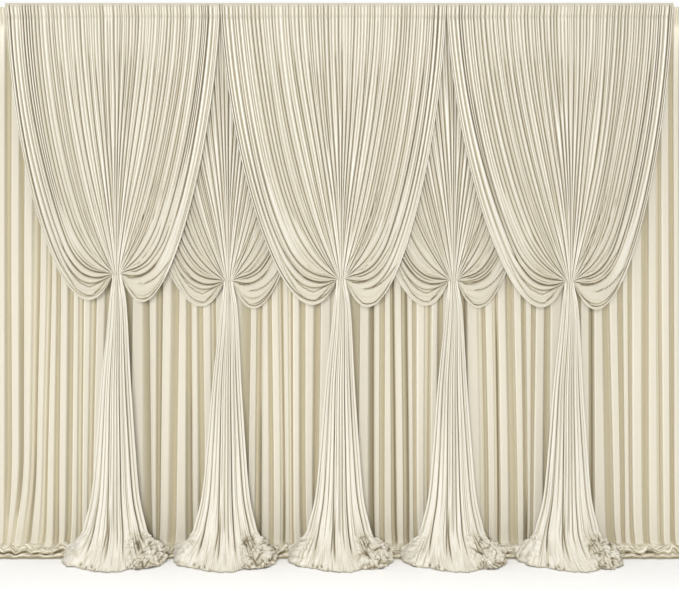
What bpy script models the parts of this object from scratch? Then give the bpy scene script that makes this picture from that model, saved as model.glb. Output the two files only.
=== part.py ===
"""Backdrop curtain: five swagged panels, each drawn in at a tie, over three plain gathered panels.

Every panel is one rectangle of cloth with a rod pocket along its top edge. The pockets lie in three
rows, one behind another: swags 1, 3 and 5 in front, swags 2 and 4 in the middle, the plain panels at
the back. Metres, +Z up, seen from -Y. The origin is the top edge of the front pockets, at the middle.
"""

from collections import namedtuple

import bmesh
import bpy
import numpy as np

# The hanging as a whole
RISE = 2.7675  # top edge of the pockets to the floor
CLEARANCE = 0.0003  # between pieces that touch
IVORY = (0.82, 0.76, 0.63, 1.0)

# Rod pockets
POCKET_RADIUS = 0.018  # outside, where the cloth turns over the rod
POCKET_DEPTH = 0.066  # top edge to the line of stitches
POCKET_WALL = 0.002
SEAM_THICKNESS = 0.004
ROW_PITCH = 2 * POCKET_RADIUS + CLEARANCE
FRONT_ROW, MIDDLE_ROW, BACK_ROW = 0.0, ROW_PITCH, 2 * ROW_PITCH
CLOTH_TOP = -POCKET_DEPTH - CLEARANCE

# Swagged panels
SWAG_THICKNESS = 0.003
KNOT_HALF_WIDTH = 0.024
KNOT_BULGE = 0.018
KNOT_DROP = 0.022  # how far under the tie the two side edges turn down
FALL_MIDDLE_FIRST_UP = 0.89  # handles of the middle thread, above the tie
FALL_MIDDLE_SECOND_UP = 0.445
FALL_STEPS = (0.0, 0.17, 0.33, 0.48, 0.62, 0.75, 0.86, 0.945, 1.0)  # shares of the fall, rod to tie
TAIL_FOOT = -0.058  # plane in which the two side edges of a tail reach the floor

# The side edges of the cloth between rod and tie. Each is a curve with two handles, both measured
# from the tie: out to the side, and up.
Edge = namedtuple("Edge", "side first_out first_up second_out second_up")
LEFT_EDGE = Edge(-1, 0.520, 0.435, 0.212, -0.454)
RIGHT_EDGE = Edge(1, 0.475, 0.594, 0.207, -0.518)

# One row for each swag: left and right ends and the tie along the rod, tie_up from the floor,
# the planes of the rod pocket and of the back of the tie, the belly, and the size of the two lobes
Swag = namedtuple("Swag", "left tie right tie_up pocket tie_plane belly lobes")
SWAGS = {
    "swag_1": Swag(-1.667, -1.101, -0.5985, 1.4135, FRONT_ROW, -0.062, 0.034, 1.00),
    "swag_2": Swag(-1.103, -0.557, -0.0370, 1.3800, MIDDLE_ROW, 0.004, 0.008, 1.00),
    "swag_3": Swag(-0.595, 0.007, 0.5320, 1.3885, FRONT_ROW, -0.062, 0.034, 1.04),
    "swag_4": Swag(0.012, 0.567, 1.0980, 1.3825, MIDDLE_ROW, 0.004, 0.008, 1.00),
    "swag_5": Swag(0.5365, 1.135, 1.667, 1.3765, FRONT_ROW, -0.062, 0.034, 1.04),
}

# The folds of a swag from its left edge to its right: width as a share of the cloth, then half the
# height of the fold at the rod, in the belly and in the tail
Fold = namedtuple("Fold", "width at_rod in_belly in_tail")
FOLDS = (
    Fold(0.040, 0.005, 0.009, 0.009),
    Fold(0.145, 0.006, 0.018, 0.012),
    Fold(0.070, 0.006, 0.013, 0.010),
    Fold(0.060, 0.005, 0.016, 0.008),
    Fold(0.055, 0.006, 0.011, 0.011),
    Fold(0.050, 0.006, 0.014, 0.009),
    Fold(0.052, 0.005, 0.010, 0.012),
    Fold(0.056, 0.006, 0.013, 0.010),
    Fold(0.050, 0.006, 0.010, 0.012),
    Fold(0.056, 0.005, 0.014, 0.009),
    Fold(0.058, 0.006, 0.011, 0.011),
    Fold(0.063, 0.006, 0.015, 0.009),
    Fold(0.075, 0.005, 0.013, 0.010),
    Fold(0.130, 0.006, 0.018, 0.012),
    Fold(0.040, 0.006, 0.008, 0.009),
)

# Sections of a tail. share: of the way from the tie to the floor. shift and half_width: sideways.
# bulge: how far its middle stands before its edges. round: 1 gives a parabola in plan, 0.5 an oval.
# lift: 0 where a fold stands forward, 1 where it stands up. fold: share of the fold's height.
Section = namedtuple("Section", "share shift half_width bulge round lift fold")
TAIL = (
    Section(0.12, 0.004, 0.035, 0.022, 1.0, 0.0, 0.65),
    Section(0.37, -0.006, 0.069, 0.030, 1.0, 0.0, 0.95),
    Section(0.60, -0.010, 0.090, 0.035, 1.0, 0.0, 1.00),
    Section(0.78, -0.013, 0.114, 0.040, 1.0, 0.0, 1.15),
    Section(0.89, -0.015, 0.152, 0.044, 0.8, 0.1, 1.20),
    Section(0.955, -0.012, 0.188, 0.050, 0.7, 0.3, 1.20),
    Section(0.988, -0.008, 0.216, 0.078, 0.6, 0.7, 1.10),
    Section(1.0, -0.004, 0.236, 0.150, 0.5, 1.0, 0.90),
    Section(1.0, 0.000, 0.258, 0.268, 0.5, 1.0, 0.50),
)

# Plain panels: each has its ends and the crests of its folds along the rod
PLAIN_THICKNESS = 0.003
Plain = namedtuple("Plain", "left right crests")
PLAINS = {
    "plain_1": Plain(-1.728, -0.5675, (
        -1.703, -1.646, -1.579, -1.496, -1.440, -1.394, -1.331, -1.275, -1.212,
        -1.130, -1.038, -0.942, -0.881, -0.798, -0.729, -0.683, -0.615)),
    "plain_2": Plain(-0.5645, 0.570, (
        -0.510, -0.436, -0.377, -0.333, -0.273, -0.217, -0.152, -0.082, 0.008,
        0.112, 0.192, 0.246, 0.291, 0.353, 0.410, 0.479, 0.535)),
    "plain_3": Plain(0.573, 1.731, (
        0.600, 0.652, 0.743, 0.810, 0.894, 0.952, 1.002, 1.082, 1.171,
        1.240, 1.297, 1.380, 1.445, 1.496, 1.577, 1.641, 1.706)),
}
FOLD_SHARE = 0.24  # half the height of a plain fold, as a share of its width
GATHERED_FOLD = 0.25  # share of that height where the cloth leaves the pocket

# Levels of a plain panel: height over the floor, plane, lift and fold as above,
# flare: how much further from the middle the folds stand there
Level = namedtuple("Level", "height plane lift fold flare")
PLAIN_LEVELS = (
    Level(RISE + CLOTH_TOP, BACK_ROW, 0.0, GATHERED_FOLD, 0.0),
    Level(2.35, 0.082, 0.0, 0.85, 0.0),
    Level(1.30, 0.088, 0.0, 1.00, 0.002),
    Level(0.10, 0.086, 0.0, 1.10, 0.007),
    Level(0.030, 0.066, 0.6, 1.00, 0.009),
    Level(0.0, 0.010, 1.0, 0.70, 0.010),
    Level(0.0, -0.040, 1.0, 0.35, 0.011),
)


def clear_scene():
    for thing in list(bpy.data.objects):
        bpy.data.objects.remove(thing, do_unlink=True)


def cloth_material(name):
    material = bpy.data.materials.new(name)
    material.use_nodes = True
    shader = material.node_tree.nodes["Principled BSDF"]
    shader.inputs["Base Color"].default_value = IVORY
    shader.inputs["Roughness"].default_value = 0.75
    shader.inputs["Metallic"].default_value = 0.0
    return material


def ease(share):
    """A smooth step from 0 to 1."""
    return share * share * (3 - 2 * share)


def blend(start, end, share):
    return start + (end - start) * share


def add_object(name, mesh_maker, material):
    """Wraps the bmesh that mesh_maker fills as an object, with its faces turned outwards."""
    shape = bmesh.new()
    mesh_maker(shape)
    bmesh.ops.recalc_face_normals(shape, faces=shape.faces)
    mesh = bpy.data.meshes.new(name)
    shape.to_mesh(mesh)
    shape.free()
    mesh.materials.append(material)
    thing = bpy.data.objects.new(name, mesh)
    bpy.context.collection.objects.link(thing)
    return thing


def close_strip(shape, first, second):
    """Faces between two equally long rows of vertices."""
    for here in range(len(first) - 1):
        shape.faces.new((first[here], first[here + 1], second[here + 1], second[here]))


def fill_sheet(shape, front, back):
    """A closed slab between two grids of points, rows by columns."""
    sides = []
    for grid in (front, back):
        rows = [[shape.verts.new(point) for point in row] for row in grid]
        for upper, lower in zip(rows, rows[1:]):
            close_strip(shape, upper, lower)
        sides.append(rows)
    front_rows, back_rows = sides
    for row in (0, -1):
        close_strip(shape, front_rows[row], back_rows[row])
    for column in (0, -1):
        front_side = [row[column] for row in front_rows]
        back_side = [row[column] for row in back_rows]
        close_strip(shape, front_side, back_side)


def thicken(middle, lift, fold, thickness):
    """Sets the folds and the thickness of the cloth off its middle surface.

    A row's offsets point forward where lift is 0, and straight up where it is 1. There the
    valleys lie on the middle surface, flat on the floor, and the crests stand twice as high.
    """
    turn = np.radians(90) * lift[:, None]
    direction = np.stack([np.zeros_like(turn), -np.cos(turn), np.sin(turn)], axis=-1)
    raised = fold + np.abs(fold) * lift[:, None]
    half = thickness / 2
    front = middle + direction * (raised + half)[..., None]
    back = middle + direction * (raised - half)[..., None]
    return front, back


def fold_columns():
    """For the columns of a swag: place across the cloth, from -1 to 1, and the fold it is on.

    Each fold has its left valley and its crest. The last column is the right edge.
    """
    widths = np.array([fold.width for fold in FOLDS])
    starts = np.concatenate([[0.0], np.cumsum(widths)]) / widths.sum()
    crests = (starts[:-1] + starts[1:]) / 2
    places = np.empty(2 * len(FOLDS) + 1)
    places[0::2] = starts
    places[1::2] = crests
    return 2 * places - 1


def fold_heights(heights):
    """Signed heights at the columns: a crest's own, and in a valley the mean of its neighbours."""
    heights = np.asarray(heights)
    columns = np.empty(2 * len(heights) + 1)
    columns[1::2] = heights
    padded = np.concatenate([heights[:1], heights, heights[-1:]])
    columns[0::2] = -(padded[:-1] + padded[1:]) / 2
    return columns


def swag_fall(swag, across, evenly):
    """Middle surface between rod and tie: one curve for each column."""
    tie_height = swag.tie_up - RISE
    edge = np.abs(across)
    left = across < 0

    def side(name):
        return np.where(left, getattr(LEFT_EDGE, name), getattr(RIGHT_EDGE, name))

    half = np.where(left, swag.tie - swag.left, swag.right - swag.tie)
    sign = side("side")
    start = (across * half, np.full_like(across, CLOTH_TOP - tie_height))
    first = (
        sign * swag.lobes * side("first_out") * edge,
        blend(FALL_MIDDLE_FIRST_UP, side("first_up"), edge**2),
    )
    second = (
        sign * swag.lobes * side("second_out") * ease(edge),
        blend(FALL_MIDDLE_SECOND_UP, side("second_up"), edge**2),
    )
    end = (evenly * KNOT_HALF_WIDTH, -KNOT_DROP * edge**4)
    step = np.array(FALL_STEPS)[:, None]
    weights = ((1 - step)**3, 3 * (1 - step)**2 * step, 3 * (1 - step) * step**2, step**3)
    handles = (start, first, second, end)
    sideways, up = (sum(w * h[axis] for w, h in zip(weights, handles)) for axis in (0, 1))
    tie_front = swag.tie_plane - KNOT_BULGE * (1 - evenly**2)
    belly = swag.belly * np.sin(np.pi * step**1.3) * (0.4 + 0.6 * edge)
    forward = blend(swag.pocket, tie_front, ease(step)) - belly
    return np.stack([swag.tie + sideways, forward, tie_height + up], axis=-1)


def swag_tail(swag, evenly):
    """Middle surface from the tie to the hem: one row of points for each section."""
    rows = []
    for section in TAIL:
        plane = blend(swag.tie_plane, TAIL_FOOT, section.share)
        bulge = section.bulge * (1 - evenly**2) ** section.round
        rows.append(np.stack([
            swag.tie + section.shift + section.half_width * evenly,
            plane - bulge,
            np.full_like(evenly, blend(swag.tie_up, SWAG_THICKNESS / 2, section.share) - RISE),
        ], axis=-1))
    return np.array(rows)


def make_swag(name, swag, material):
    across = fold_columns()
    evenly = np.linspace(-1, 1, len(across))
    at_rod, in_belly, in_tail = (
        fold_heights([getattr(fold, place) for fold in FOLDS])
        for place in ("at_rod", "in_belly", "in_tail")
    )
    step = np.array(FALL_STEPS)[:, None]
    fuller = blend(at_rod, in_belly, np.sin(np.pi * step))
    fall_fold = blend(fuller, in_tail * TAIL[0].fold, step**3)
    tail_fold = in_tail * np.array([section.fold for section in TAIL])[:, None]
    middle = np.concatenate([swag_fall(swag, across, evenly), swag_tail(swag, evenly)])
    fold = np.concatenate([fall_fold, tail_fold])
    lift = np.concatenate([np.zeros(len(FALL_STEPS)), [section.lift for section in TAIL]])
    front, back = thicken(middle, lift, fold, SWAG_THICKNESS)
    add_object(name, lambda shape: fill_sheet(shape, front, back), material)


def make_plain(name, plain, material):
    crests = np.array(plain.crests)
    inner = (crests[:-1] + crests[1:]) / 2
    valleys = np.concatenate([[plain.left], inner, [plain.right]])
    along = np.empty(2 * len(crests) + 1)
    along[0::2] = valleys
    along[1::2] = crests
    fold = fold_heights(FOLD_SHARE * np.diff(valleys))
    rows = [
        np.stack([
            along * (1 + level.flare),
            np.full_like(along, level.plane),
            np.full_like(along, max(level.height, PLAIN_THICKNESS / 2) - RISE),
        ], axis=-1)
        for level in PLAIN_LEVELS
    ]
    lift = np.array([level.lift for level in PLAIN_LEVELS])
    folds = fold * np.array([level.fold for level in PLAIN_LEVELS])[:, None]
    front, back = thicken(np.array(rows), lift, folds, PLAIN_THICKNESS)
    add_object(name, lambda shape: fill_sheet(shape, front, back), material)


def pocket_profile(offset):
    """Points of the pocket's section, offset inwards: up one side, over the rod, down the other."""
    radius = POCKET_RADIUS - offset
    angles = np.radians([0, 45, 90, 135, 180])
    over = [(radius * np.cos(a), radius * np.sin(a) - POCKET_RADIUS) for a in angles]
    foot = SEAM_THICKNESS / 2 - 0.5 * offset
    height = -POCKET_DEPTH + 4 * offset
    return [(foot, height), *over, (-foot, height)]


def make_pocket(name, left, right, plane, material):
    """A sleeve of cloth, open at both ends, that takes the rod."""

    def fill(shape):
        rings = []
        for along in (left, right):
            for offset in (0.0, POCKET_WALL):
                points = [(along, plane + y, z) for y, z in pocket_profile(offset)]
                ring = [shape.verts.new(point) for point in points]
                rings.append(ring + ring[:1])
        left_outer, left_inner, right_outer, right_inner = rings
        close_strip(shape, left_outer, right_outer)
        close_strip(shape, left_inner, right_inner)
        close_strip(shape, left_outer, left_inner)
        close_strip(shape, right_outer, right_inner)

    add_object(name, fill, material)


def main():
    clear_scene()
    for name, swag in SWAGS.items():
        material = cloth_material(name)
        make_swag(name, swag, material)
        make_pocket(f"pocket_{name}", swag.left, swag.right, swag.pocket, material)
    for name, plain in PLAINS.items():
        material = cloth_material(name)
        make_plain(name, plain, material)
        make_pocket(f"pocket_{name}", plain.left, plain.right, BACK_ROW, material)


main()
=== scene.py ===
import math
from collections import namedtuple

import bpy
import numpy as np
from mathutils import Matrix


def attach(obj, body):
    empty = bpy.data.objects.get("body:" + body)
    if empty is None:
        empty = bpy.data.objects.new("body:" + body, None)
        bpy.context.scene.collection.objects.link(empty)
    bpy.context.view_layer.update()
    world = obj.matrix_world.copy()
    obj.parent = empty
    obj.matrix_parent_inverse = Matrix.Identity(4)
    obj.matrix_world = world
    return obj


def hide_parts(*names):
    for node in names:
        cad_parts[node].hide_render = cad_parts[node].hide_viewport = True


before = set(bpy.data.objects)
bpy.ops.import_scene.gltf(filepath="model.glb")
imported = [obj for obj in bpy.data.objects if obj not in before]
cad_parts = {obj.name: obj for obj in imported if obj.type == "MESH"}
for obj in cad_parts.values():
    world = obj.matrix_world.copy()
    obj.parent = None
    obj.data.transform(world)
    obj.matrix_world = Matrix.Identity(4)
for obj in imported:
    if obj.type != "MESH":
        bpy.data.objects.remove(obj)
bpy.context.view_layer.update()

# The hanging: metres, +Z up, seen from -Y, the origin at the top edge of the front pockets
rise = 2.7675  # pockets' top edge to the floor
floorHeight = -rise
seamHeight = -0.0663  # where the cloth leaves its rod pocket
clothFlat = (1.47, 3.05)  # a panel before it was hung
restGap = 0.0008  # cloth on the floor lies this far above it


def blend(low, high, share):
    return low + (high - low) * share


def ease(share):
    share = np.clip(share, 0.0, 1.0)
    return share * share * (3 - 2 * share)


# A soft hump of height 1, gone at one width from its middle
def bump(value, middle, width):
    return ease(1 - np.abs(value - middle) / width)


# A smooth curve through the values of a table's column, read at row numbers, with no overshoot
def throughPoints(values, at):
    values = np.asarray(values, float)
    steps = np.diff(values)
    before, after = steps[:-1], steps[1:]
    limit = 3 * np.minimum(np.abs(before), np.abs(after))
    slopes = np.where(before * after > 0, np.clip((before + after) / 2, -limit, limit), 0)
    slopes = np.concatenate([steps[:1], slopes, steps[-1:]])
    row = np.clip(np.floor(at).astype(int), 0, len(values) - 2)
    t = at - row
    return (
        values[row] + slopes[row] * t
        + (3 * steps[row] - 2 * slopes[row] - slopes[row + 1]) * t**2
        + (slopes[row] + slopes[row + 1] - 2 * steps[row]) * t**3
    )


# Rounded humps with sharp creases between them, running in a few directions: their height, from -1
# to 1, and how much painted shade lies in the creases, from 0 to 1
def crumple(along, across, seed, pitch):
    count = 4  # of the directions
    dice = np.random.default_rng(seed)
    shape = np.broadcast(along, across).shape
    total, lines = np.zeros(shape), np.zeros(shape)
    for step in range(count):
        turn = math.pi * (step + dice.uniform(0.1, 0.9)) / count
        length = pitch * dice.uniform(0.6, 1.7)
        wave = (along * math.cos(turn) + across * math.sin(turn)) / length
        wave = wave + 0.35 * np.sin(2.1 * wave + dice.uniform(0, 6))
        sideways = (across * math.cos(turn) - along * math.sin(turn)) / length
        hump = np.abs(np.sin(math.pi * wave + dice.uniform(0, 6)))
        total += 2 * hump**0.6 - 1.3
        lasting = ease(0.8 * np.sin(1.9 * sideways + 1.3 * wave + dice.uniform(0, 6)) + 0.3)
        lines = np.maximum(lines, lasting * np.exp(-(hump * length / 0.008) ** 2))
    return total / count * 1.8, lines


# How far the painted shade of a soft and of a sharp hollow reaches, and how much of the fold's width at
# most
shadeReach = (0.009, 0.0038, 0.22)


# Height of the cloth between two valleys, and the painted shade of its hollows, from 0 to 1. width: from
# valley to valley in metres. A valley is soft at 0, sharp at 1 and a slit at 2.
def foldsBetween(share, width, leftDepth, rightDepth, leftCrisp, rightCrisp):
    def trough(way, crisp):
        near = np.clip(1 - 2 * way, 0, 1)
        rounded = blend(ease(near), near**2, np.clip(crisp, 0, 1))
        return blend(rounded, near**5, np.clip(crisp - 1, 0, 1))

    def darkness(way, depth, crisp):
        softReach, sharpReach, mostReach = shadeReach
        reach = np.minimum(blend(softReach, sharpReach, np.clip(crisp, 0, 1)), mostReach * width) + 1e-6
        strength = np.clip((depth - 0.001) / 0.006, 0, 1) * np.clip(width / 0.010, 0.15, 1)
        line = np.exp(-(way * width / reach) ** 2)
        beside = 0.22 * (1 - line) * np.clip(1 - 2 * way, 0, 1) * np.clip(crisp - 0.5, 0, 1)
        return strength * (line + beside)

    low = leftDepth * trough(share, leftCrisp) + rightDepth * trough(1 - share, rightCrisp)
    depth = blend(leftDepth, rightDepth, share)
    dark = np.maximum(darkness(share, leftDepth, leftCrisp), darkness(1 - share, rightDepth, rightCrisp))
    return 0.3 * depth - low, dark


# A table with named columns
def tableOf(names, *rows):
    Row = namedtuple("Row", names)
    return [Row(*row) for row in rows]


def column(table, name):
    return np.array([getattr(row, name) for row in table], float)


# Row numbers down a table, with as many steps after each of its rows as it gives, but not the first
def rowsDown(table):
    rows = np.concatenate([number + np.arange(row.rows) / row.rows for number, row in enumerate(table)])
    return rows[1:, None]


# Places on the flat cloth in metres, for a grid of points as hung
def placesOnFlat(points):
    lengths = np.linalg.norm(np.diff(points, axis=0), axis=-1).mean(axis=1)
    along = np.concatenate([[0], np.cumsum(lengths)])
    across = np.linspace(0, clothFlat[0], points.shape[1])
    return np.stack(np.broadcast_arrays(across[None, :], along[:, None]), axis=-1)


# Cloth mesh from a grid of points, with two values from 0 to 1 at each point: how much painted shade
# and how much painted highlight its colour shows
def clothPiece(name, points, paintedShade, paintedHighlight, material):
    rows, columns = points.shape[:2]
    number = np.arange(rows * columns).reshape(rows, columns)
    corners = np.stack([number[:-1, :-1], number[1:, :-1], number[1:, 1:], number[:-1, 1:]], axis=-1)
    mesh = bpy.data.meshes.new(name)
    mesh.from_pydata(points.reshape(-1, 3).tolist(), [], corners.reshape(-1, 4).tolist())
    uvLayer = mesh.uv_layers.new(name="flat")
    uvLayer.data.foreach_set("uv", placesOnFlat(points).reshape(-1, 2)[corners.reshape(-1)].ravel())
    for key, values in (("paintedShade", paintedShade), ("paintedHighlight", paintedHighlight)):
        layer = mesh.attributes.new(key, "FLOAT", "POINT")
        layer.data.foreach_set("value", np.clip(values, 0, 1).ravel().astype(np.float32))
    mesh.materials.append(material)
    mesh.shade_smooth()
    piece = bpy.data.objects.new(name, mesh)
    bpy.context.collection.objects.link(piece)
    return piece


# A socket in a node tree, with sums and products written as expressions
class Wire:
    def __init__(self, tree, socket):
        self.tree = tree
        self.socket = socket

    def node(self, kind, settings=None, **inputs):
        made = self.tree.nodes.new(kind)
        for name, value in (settings or {}).items():
            setattr(made, name, value)
        for name, value in inputs.items():
            numbered = name[0] == "i" and name[1:].isdigit()  # such as i0, for sockets that share a name
            slot = made.inputs[int(name[1:]) if numbered else name]
            if isinstance(value, Wire):
                self.tree.links.new(value.socket, slot)
            else:
                slot.default_value = value
        return made

    def out(self, made, which=0):
        return Wire(self.tree, made.outputs[which])

    def maths(self, operation, first, second=0.0):
        return self.out(self.node("ShaderNodeMath", {"operation": operation}, i0=first, i1=second))

    def __add__(self, other):
        return self.maths("ADD", self, other)

    __radd__ = __add__

    def __mul__(self, other):
        return self.maths("MULTIPLY", self, other)

    __rmul__ = __mul__

    def __sub__(self, other):
        return self.maths("SUBTRACT", self, other)

    def __rsub__(self, other):
        return self.maths("SUBTRACT", other, self)


clothLooks = {
    "lit": (0.685, 0.647, 0.560),
    "uneven": (0.665, 0.625, 0.535),  # in faint clouds over it
    # painted highlight on the fine ridges of gathered cloth
    "ridgeHighlight": (0.99, 0.955, 0.865),  # on the fine ridges of gathered cloth
    # painted shade in hollows, and darker painted shade at the bottom of sharp creases
    "shade": (0.560, 0.512, 0.385),  # in hollows
    "crease": (0.20, 0.16, 0.10),  # at the bottom of sharp creases
    "roughness": 0.58,
    "roughnessVaries": 0.16,
    "roughnessInHollows": 0.08,
    "sheen": 0.10,
    "ribPitch": 0.0016,  # between the ribs of the knit
    "stitchPitch": 0.0021,
    "knitRelief": 0.00012,
    "cloudScale": 2.3,
    "slubScale": 55.0,
}


def clothMaterial(name, tint):
    material = bpy.data.materials.new(name)
    material.use_nodes = True
    tree = material.node_tree
    shader = tree.nodes["Principled BSDF"]
    start = Wire(tree, None)
    flat = start.out(start.node("ShaderNodeUVMap", {"uv_map": "flat"}))
    apart = start.node("ShaderNodeSeparateXYZ", Vector=flat)
    across, along = start.out(apart, 0), start.out(apart, 1)
    # painted shade and painted highlight, read from the mesh's attributes
    paintedShade = start.out(start.node("ShaderNodeAttribute", {"attribute_name": "paintedShade"}), 2)
    paintedHighlight = start.out(start.node("ShaderNodeAttribute", {"attribute_name": "paintedHighlight"}), 2)
    ribs = start.maths("SINE", across * (2 * math.pi / clothLooks["ribPitch"]))
    loops = start.maths("SINE", along * (2 * math.pi / clothLooks["stitchPitch"]) + ribs * 1.2)
    cloudy = start.out(start.node(
        "ShaderNodeTexNoise", Vector=flat, Scale=clothLooks["cloudScale"], Detail=3.0, Roughness=0.55))
    slub = start.out(start.node(
        "ShaderNodeTexNoise", Vector=flat, Scale=clothLooks["slubScale"], Detail=2.0, Roughness=0.6))

    def colour(look):
        return (*(part * share for part, share in zip(clothLooks[look], tint)), 1)

    def mixed(first, second, share):
        mix = start.node("ShaderNodeMix", {"data_type": "RGBA"}, Factor=share, i6=first, i7=second)
        return start.out(mix, 2)

    cloth = mixed(colour("lit"), colour("uneven"), cloudy * 0.8)
    # painted highlight on the ridges, only where there is little painted shade
    highlightOnRidges = paintedHighlight * start.maths("MAXIMUM", 1.0 - paintedShade * 3.0, 0.0)
    cloth = mixed(cloth, colour("ridgeHighlight"), highlightOnRidges)
    # painted shade in hollows, darkest at the bottom of creases
    cloth = mixed(cloth, colour("shade"), start.maths("MINIMUM", paintedShade * 1.8, 1.0))
    cloth = mixed(cloth, colour("crease"), start.maths("MAXIMUM", (paintedShade - 0.5) * 2.0, 0.0))
    tree.links.new(cloth.socket, shader.inputs["Base Color"])
    rough = clothLooks["roughness"] + (slub - 0.5) * clothLooks["roughnessVaries"]
    rough = rough + paintedShade * clothLooks["roughnessInHollows"]
    tree.links.new(rough.socket, shader.inputs["Roughness"])
    relief = start.node("ShaderNodeBump", Strength=0.6, Height=ribs * 0.5 + loops * 0.3 + slub * 1.5)
    relief.inputs["Distance"].default_value = clothLooks["knitRelief"]
    tree.links.new(relief.outputs[0], shader.inputs["Normal"])
    shader.inputs["Sheen Weight"].default_value = clothLooks["sheen"]
    shader.inputs["Sheen Roughness"].default_value = 0.45
    shader.inputs["Specular IOR Level"].default_value = 0.3
    return material


# Rod pocket: the cloth comes up behind the rod, turns over it and goes down to the stitches
pocketValues = {
    "radius": 0.018,
    "depth": 0.066,  # top edge to the stitches
    "foot": 0.002,  # half the thickness at the stitches
    "rowsUp": 3,
    "rowsOver": 9,
    "rowsDown": 6,
}


# Section of a rod pocket: places forward of the rod's plane and up, and the way out of it
def pocketRows():
    radius, depth, foot = (pocketValues[name] for name in ("radius", "depth", "foot"))
    up = np.linspace(0, 1, pocketValues["rowsUp"], endpoint=False)
    down = np.linspace(1, 0, pocketValues["rowsDown"])[1:]
    turn = np.radians(np.linspace(0, 180, pocketValues["rowsOver"]))
    back = [(blend(foot, radius, ease(t) ** 0.6), blend(-depth, -radius, t), 1.0, 0.2) for t in up]
    over = [(radius * np.cos(a), radius * np.sin(a) - radius, np.cos(a), np.sin(a)) for a in turn]
    front = [(-blend(foot, radius, ease(t) ** 0.6), blend(-depth, -radius, t), -1.0, 0.2) for t in down]
    return np.array(back + over + front)


# Rod pocket along a row of places on its rod, with gathers that stand out of its section by relief
def pocketCloth(alongRod, plane, section, relief):
    moves = section[:, 1:2] < -0.004  # the top edge stays level
    return np.stack(np.broadcast_arrays(
        alongRod,
        plane + section[:, 0:1] + section[:, 2:3] * relief,
        section[:, 1:2] + section[:, 3:4] * relief * moves,
    ), axis=-1)


# A side edge of a swag's cloth between rod and tie is a curve with two handles, both measured
# from the tie: out to the side, and up
leftEdge, rightEdge = tableOf(
    "side firstOut firstUp secondOut secondUp",
    (-1, 0.52, 0.435, 0.212, -0.454),
    (1, 0.475, 0.594, 0.207, -0.518),
)

# Planes of a row's rod and of its ties, and how far the cloth stands forward between them
frontRow = {"pocket": 0.0, "tiePlane": -0.062, "belly": 0.034}
middleRow = {"pocket": 0.0363, "tiePlane": 0.004, "belly": 0.008}

# left, right: places of a swag's edges at the rod. tie, tieUp: place of its tie, and its height over
# the floor. lobes: how far the lobes reach out, as a scale of the edges' handles.
swags = {
    "swag_1": dict(left=-1.667, tie=-1.101, right=-0.5985, tieUp=1.4135, lobes=1.0, seed=11, **frontRow),
    "swag_2": dict(left=-1.103, tie=-0.557, right=-0.037, tieUp=1.38, lobes=1.0, seed=12, **middleRow),
    "swag_3": dict(left=-0.595, tie=0.007, right=0.532, tieUp=1.3885, lobes=1.04, seed=13, **frontRow),
    "swag_4": dict(left=0.012, tie=0.567, right=1.098, tieUp=1.3825, lobes=1.0, seed=14, **middleRow),
    "swag_5": dict(left=0.5365, tie=1.135, right=1.667, tieUp=1.3765, lobes=1.04, seed=15, **frontRow),
}

swagValues = {
    "knotHalfWidth": 0.023,
    "knotBulge": 0.022,
    "knotDrop": 0.014,  # how far under the tie the two side edges turn down
    "middleFirstUp": 0.89,  # handles of the middle thread
    "middleSecondUp": 0.445,
    # rows of the pocket's section, and how far its gathers stand out there
    "pocketReach": ((0, 4, 9, 11, 12, 14), (0.15, 0.18, 0.24, 0.45, 0.75, 1.0)),
    "gatherDepth": 0.015,
    "gatherPitch": 0.0272,  # as a share of half the cloth
    "packedTop": 0.72,  # a gather's depth as a share of its width, at most, near the rod
    "packedBelow": 0.56,
    "columnsPerGather": 4,
    "columnsPerOuterGather": 8,
    "outerFrom": 0.78,  # of the way out
    "fallRows": 96,
    "fallWander": 0.012,  # of the valleys across the cloth
    "tailWander": 0.016,
    "stitchShade": 0.22,  # under the rod
    "lobeShade": 0.32,
    "foldShade": 0.25,  # of a tail's folds, whose strokes are darker
    "tailFoot": -0.058,  # plane of a tail where its foot begins
    "footHandle": 0.055,  # how far its threads go on straight there
    "tuckDepth": 0.010,
    "ruffleDepth": 0.009,
    "footRows": 42,
    "footRelief": 0.0085,  # of its crumples
    "leftPitch": 0.042,
    "rightPitch": 0.027,
    "hemShade": 0.62,
}

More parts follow.
